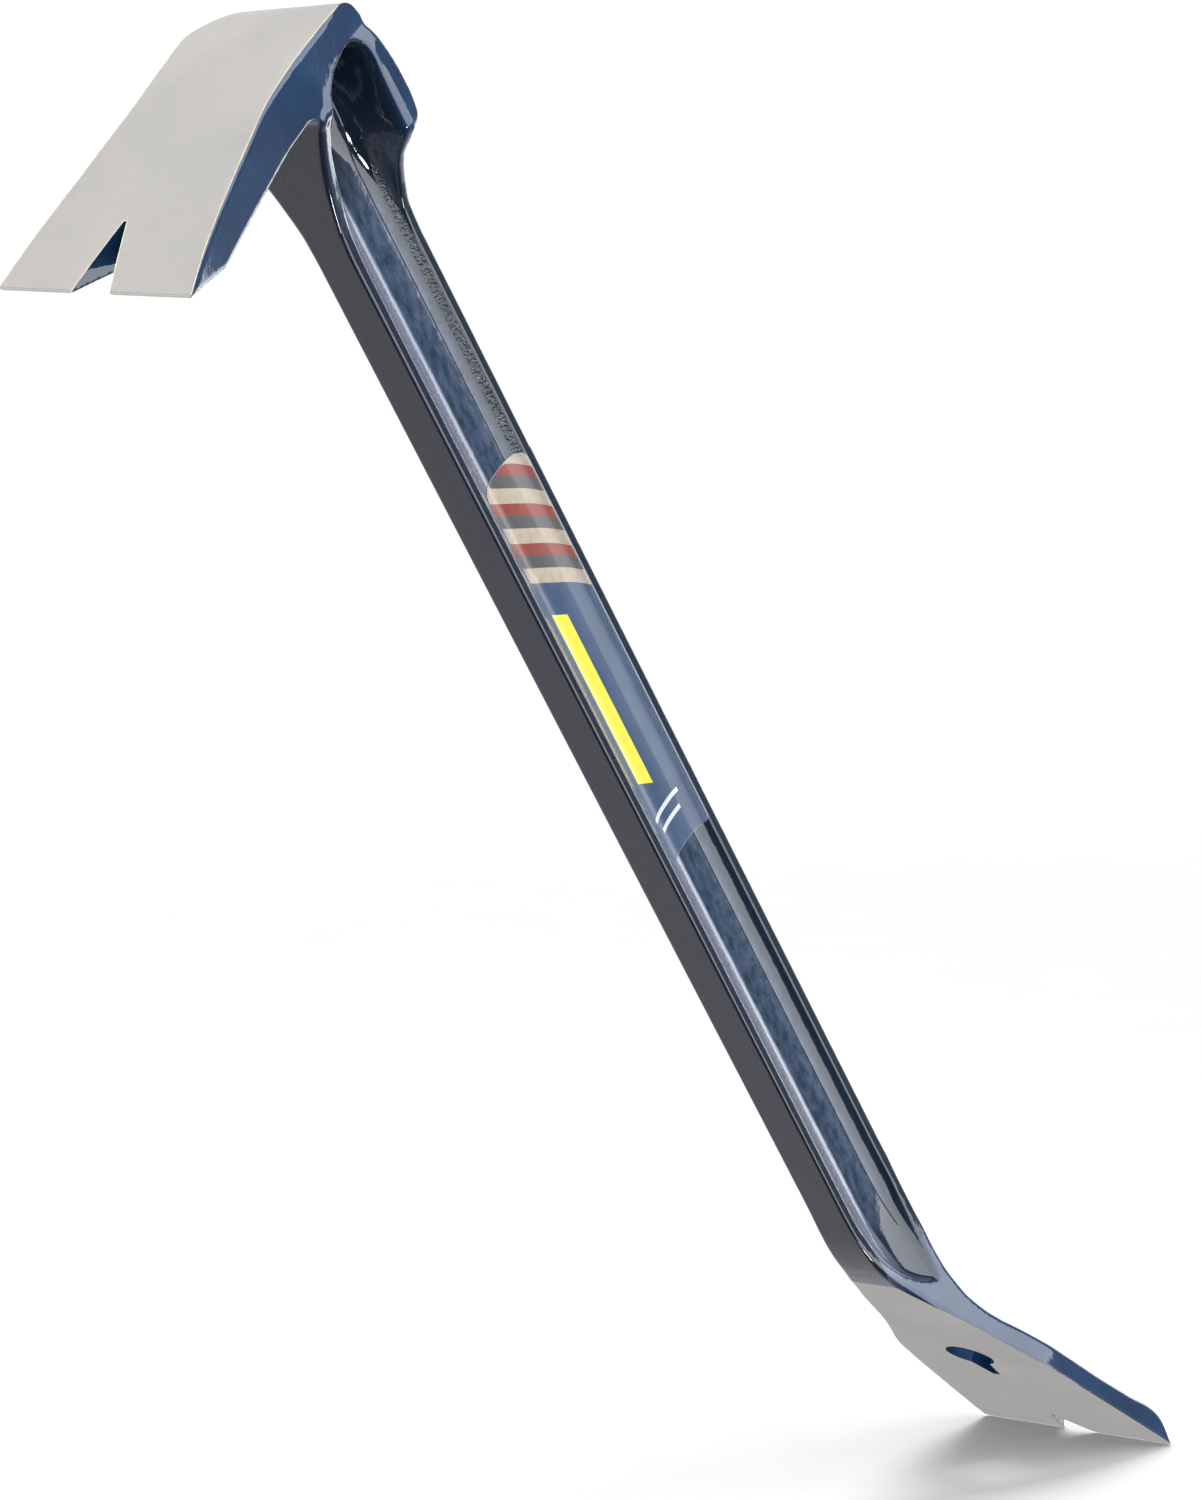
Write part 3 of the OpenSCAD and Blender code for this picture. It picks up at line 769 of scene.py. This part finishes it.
# a coarse forged skin on the inner wall of the back flange
skin = M.noise(M.scale(bar, (1.5, 1.5, 1.5)), 1.0, 1.5, 0.5)
back_wall = M.math("MULTIPLY", M.math("LESS_THAN", D_, -6.0), M.math("MULTIPLY", M.math("GREATER_THAN", S_, 16.0), M.math("LESS_THAN", S_, 150.0)))
back_wall = M.math("MULTIPLY", back_wall, M.math("LESS_THAN", Y_, 4.4))
b3 = M.bump(M.math("MULTIPLY", skin, back_wall), 1.0, 0.00042, b3)
pb = M.node("BsdfPrincipled")
M.put(pb.inputs["Base Color"], base)
M.put(pb.inputs["Metallic"], M.math("MULTIPLY_ADD", flake, 0.4, 0.35))
M.put(pb.inputs["Roughness"], M.math("MULTIPLY_ADD", flake, -0.15, 0.50))
pb.inputs["Specular IOR Level"].default_value = 0.2
M.put(pb.inputs["Normal"], M.bump(vor.outputs["Distance"], 0.10, 0.00008, b2))
pb.inputs["Coat Weight"].default_value = 1.0
pb.inputs["Coat Roughness"].default_value = 0.035
pb.inputs["Coat IOR"].default_value = 1.52
M.put(pb.inputs["Coat Normal"], b3)
M.put(M.out.inputs[0], pb.outputs[0])
mat_paint = M.m

# --- printed label: generic panel, stripes, block band; u runs down the shaft, v from the front edge
M = Nodes("printed_label")
luv = M.node("Attribute", attribute_name="bar").outputs["Vector"]
sep = M.node("SeparateXYZ")
M.put(sep.inputs[0], luv)
U_, V_ = sep.outputs[0], sep.outputs[1]
LW = float(a1 - a0)


def band(x, lo, hi):
    return M.math("MULTIPLY", M.math("GREATER_THAN", x, lo), M.math("LESS_THAN", x, hi))


slate = M.ramp(M.noise(M.scale(luv, (0.08, 0.2, 0)), 1.0, 2), [(0.3, srgb(34, 54, 80)), (0.7, srgb(44, 64, 92))])
col = slate
# plain slanted bands in muted tones, no picture
grime = M.noise(M.scale(luv, (0.3, 0.7, 0)), 1.0, 5, 0.7)
slant = M.math("SUBTRACT", U_, M.math("MULTIPLY", V_, 0.9))
in_art = M.math("LESS_THAN", slant, 24.0)
ph = M.math("FRACT", M.math("DIVIDE", M.math("ADD", slant, 20.0), 11.0))
bands = M.mix(M.math("LESS_THAN", ph, 0.62), srgb(150, 140, 126), srgb(60, 62, 66))
bands = M.mix(M.math("LESS_THAN", ph, 0.30), bands, srgb(112, 44, 40))
bands = M.mix(M.ramp(grime, [(0.45, (0, 0, 0)), (0.75, (0.4, 0.4, 0.4))]), bands, srgb(84, 66, 56))
col = M.mix(in_art, col, bands)
# one plain yellow bar
yb = M.math("MULTIPLY", band(slant, 33.0, 82.0), band(V_, LW * 0.16, LW * 0.46))
col = M.mix(yb, col, srgb(192, 182, 56))
# two short pale rules in place of small print
w1 = M.math("MULTIPLY", band(U_, 94.5, 95.7), band(V_, LW * 0.12, LW * 0.78))
w2 = M.math("MULTIPLY", band(U_, 98.3, 99.5), band(V_, LW * 0.20, LW * 0.70))
col = M.mix(M.math("MAXIMUM", w1, w2), col, srgb(170, 176, 184))
# pale cut edge of the sheet
cut = M.math("MINIMUM", M.math("MINIMUM", V_, M.math("SUBTRACT", LW, V_)), M.math("MINIMUM", U_, M.math("SUBTRACT", LS1 - LS0, U_)))
col = M.mix(M.math("LESS_THAN", cut, 0.16), col, srgb(110, 118, 130))
pb = M.node("BsdfPrincipled")
M.put(pb.inputs["Base Color"], col)
M.put(pb.inputs["Roughness"], M.math("MULTIPLY_ADD", grime, 0.10, 0.30))
M.put(pb.inputs["Normal"], M.bump(M.noise(M.scale(luv, (0.2, 0.4, 0)), 1.0, 2), 0.1, 0.0003))
pb.inputs["Coat Weight"].default_value = 0.25
pb.inputs["Coat Roughness"].default_value = 0.12
M.put(M.out.inputs[0], pb.outputs[0])
mat_label = M.m

for ob, m in ((steel, mat_steel), (paint, mat_paint), (label, mat_label)):
    ob.data.materials.append(m)
# the hidden CAD nodes carry the same finishes
for name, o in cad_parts.items():
    m = {"paint_coat": mat_paint, "side_label": mat_label}.get(name, mat_steel)
    o.data.materials.clear()
    o.data.materials.append(m)

# ------------------------------------------------------------------ camera
CAM_R = np.array([[0.3607654200502331, 0.8200578631861881, -0.44424476667990337],
                  [0.7012716494520852, 0.07551093426175198, 0.7088837510351531],
                  [0.6148710314941911, -0.5672770044990545, -0.5478415964454041]])
CAM_T = np.array([-65.37517439956521, -138.29715470963927, 1136.7809941797054])
pos = to_row((-CAM_R.T @ CAM_T)[None])[0]
axes = turn_row(CAM_R)
rot = Matrix(((axes[0][0], -axes[1][0], -axes[2][0]), (axes[0][1], -axes[1][1], -axes[2][1]), (axes[0][2], -axes[1][2], -axes[2][2])))
cam_data = bpy.data.cameras.new("camera")
cam = bpy.data.objects.new("camera", cam_data)
bpy.context.scene.collection.objects.link(cam)
cam.matrix_world = Matrix.Translation(Vector(pos)) @ rot.to_4x4()
cam_data.sensor_width = 36.0
cam_data.sensor_fit = "AUTO"
cam_data.lens = 6062.084729804363 * 36.0 / 1500.0
cam_data.clip_start, cam_data.clip_end = 0.05, 50
bpy.context.scene.camera = cam

# ------------------------------------------------------------------ floor
M = Nodes("pale_floor")
co = M.node("TexCoord").outputs["Object"]
ln = M.node("VectorMath", operation="LENGTH")
M.put(ln.inputs[0], co)
far = M.math("MULTIPLY", M.math("SUBTRACT", ln.outputs["Value"], 0.55), 1.6, clamp=True)
speck = M.noise(M.scale(co, (30, 30, 30)), 1.0, 2)
d1 = M.node("BsdfDiffuse")
M.put(d1.inputs[0], M.ramp(speck, [(0.3, (0.312, 0.312, 0.312)), (0.7, (0.320, 0.320, 0.320))]))
e1 = M.node("Emission")
e1.inputs[0].default_value = (1, 1, 1, 1)
e1.inputs[1].default_value = 1.05
mx = M.node("MixShader")
M.put(mx.inputs[0], far)
M.put(mx.inputs[1], d1.outputs[0])
M.put(mx.inputs[2], e1.outputs[0])
M.put(M.out.inputs[0], mx.outputs[0])
fm = bpy.data.meshes.new("floor")
ring = [(0.0, 0.0, 0.0)]
fp = []
for k in range(96):
    a = 2 * math.pi * k / 96
    ring.append((60 * math.cos(a), 60 * math.sin(a), 0.0))
for k in range(96):
    fp.append((0, 1 + k, 1 + (k + 1) % 96))
fm.from_pydata(ring, [], fp)
floor = bpy.data.objects.new("floor", fm)
bpy.context.scene.collection.objects.link(floor)
floor.location = (-0.12, 0, -0.0002)
floor.visible_glossy = False
fm.materials.append(M.m)

# ------------------------------------------------------------------ light
world = bpy.data.worlds.new("studio")
bpy.context.scene.world = world
world.use_nodes = True
wt = world.node_tree
wt.nodes.clear()
wo = wt.nodes.new("ShaderNodeOutputWorld")
bg = wt.nodes.new("ShaderNodeBackground")
bg.inputs[0].default_value = (0.985, 0.995, 1.0, 1)


def wnode(kind, op=None, **ins):
    n = wt.nodes.new("ShaderNode" + kind)
    if op:
        n.operation = op
    return n


def wmath(op, a, b=0.0):
    n = wnode("Math", op)
    for i, v in enumerate((a, b)):
        if isinstance(v, bpy.types.NodeSocket):
            wt.links.new(v, n.inputs[i])
        else:
            n.inputs[i].default_value = v
    return n.outputs[0]


def wstep(x, lo, hi, a, b):
    n = wt.nodes.new("ShaderNodeMapRange")
    n.interpolation_type = "SMOOTHSTEP"
    wt.links.new(x, n.inputs[0])
    for i, v in enumerate((lo, hi, a, b)):
        n.inputs[i + 1].default_value = v
    return n.outputs[0]


# a white room, a big soft box square to the bar's side with a dark gap round it, a dimmer table below
wdir = wt.nodes.new("ShaderNodeTexCoord").outputs["Generated"]
wsep = wt.nodes.new("ShaderNodeSeparateXYZ")
wt.links.new(wdir, wsep.inputs[0])
wx, wy, wz = wsep.outputs
def wlobe(d, inner, outer, a, b):
    n = wnode("VectorMath", "DOT_PRODUCT")
    wt.links.new(wdir, n.inputs[0])
    n.inputs[1].default_value = Vector(d).normalized()
    return wstep(n.outputs["Value"], math.cos(math.radians(outer)), math.cos(math.radians(inner)), a, b)


room = wstep(wz, -0.86, -0.48, 0.66, 1.02)
gap = wstep(wy, 0.24, 0.28, 1.0, 0.05)
under = wlobe((0.2, 0.12, -0.972), 26, 34, 1.0, 0.08)
tilted = wmath("ADD", wmath("ADD", wmath("MULTIPLY", wx, 0.5), wy), wmath("MULTIPLY", wz, 0.1))
box = wmath("MULTIPLY", wstep(tilted, 0.362, 0.392, 0.0, 3.8), wstep(wz, -0.80, -0.77, 0.0, 1.0))
strip = wlobe((-0.985, -0.05, 0.0), 21, 24, 0.0, 2.6)
lamp = wlobe((-0.03, 0.375, -0.925), 3.0, 4.0, 0.0, 45.0)
veil = wstep(wmath("SUBTRACT", tilted, wmath("MULTIPLY", wz, 0.6)), 0.30, 0.44, 0.0, 0.35)
veil = wmath("MULTIPLY", veil, wstep(wx, -0.55, -0.45, 1.0, 0.0))
strip = wmath("ADD", wmath("ADD", strip, lamp), veil)
level = wmath("ADD", wmath("ADD", wmath("MULTIPLY", wmath("MULTIPLY", room, gap), under), box), strip)
wt.links.new(level, bg.inputs[1])
wt.links.new(bg.outputs[0], wo.inputs[0])


def panel_light(name, at, aim, w, h, power, color=(1, 1, 1)):
    d = bpy.data.lights.new(name, "AREA")
    d.shape = "RECTANGLE"
    d.size, d.size_y = w, h
    d.energy = power
    d.color = color
    o = bpy.data.objects.new(name, d)
    bpy.context.scene.collection.objects.link(o)
    o.location = at
    o.rotation_mode = "QUATERNION"
    o.rotation_quaternion = (Vector(aim) - Vector(at)).to_track_quat("-Z", "Y")
    o.visible_camera = False
    o.visible_glossy = False
    return o


panel_light("key_top", (-0.1, -0.3, 1.6), (0, 0, 0.15), 1.0, 1.0, 42)

bpy.context.scene.view_settings.view_transform = "Standard"
bpy.context.scene.view_settings.look = "None"
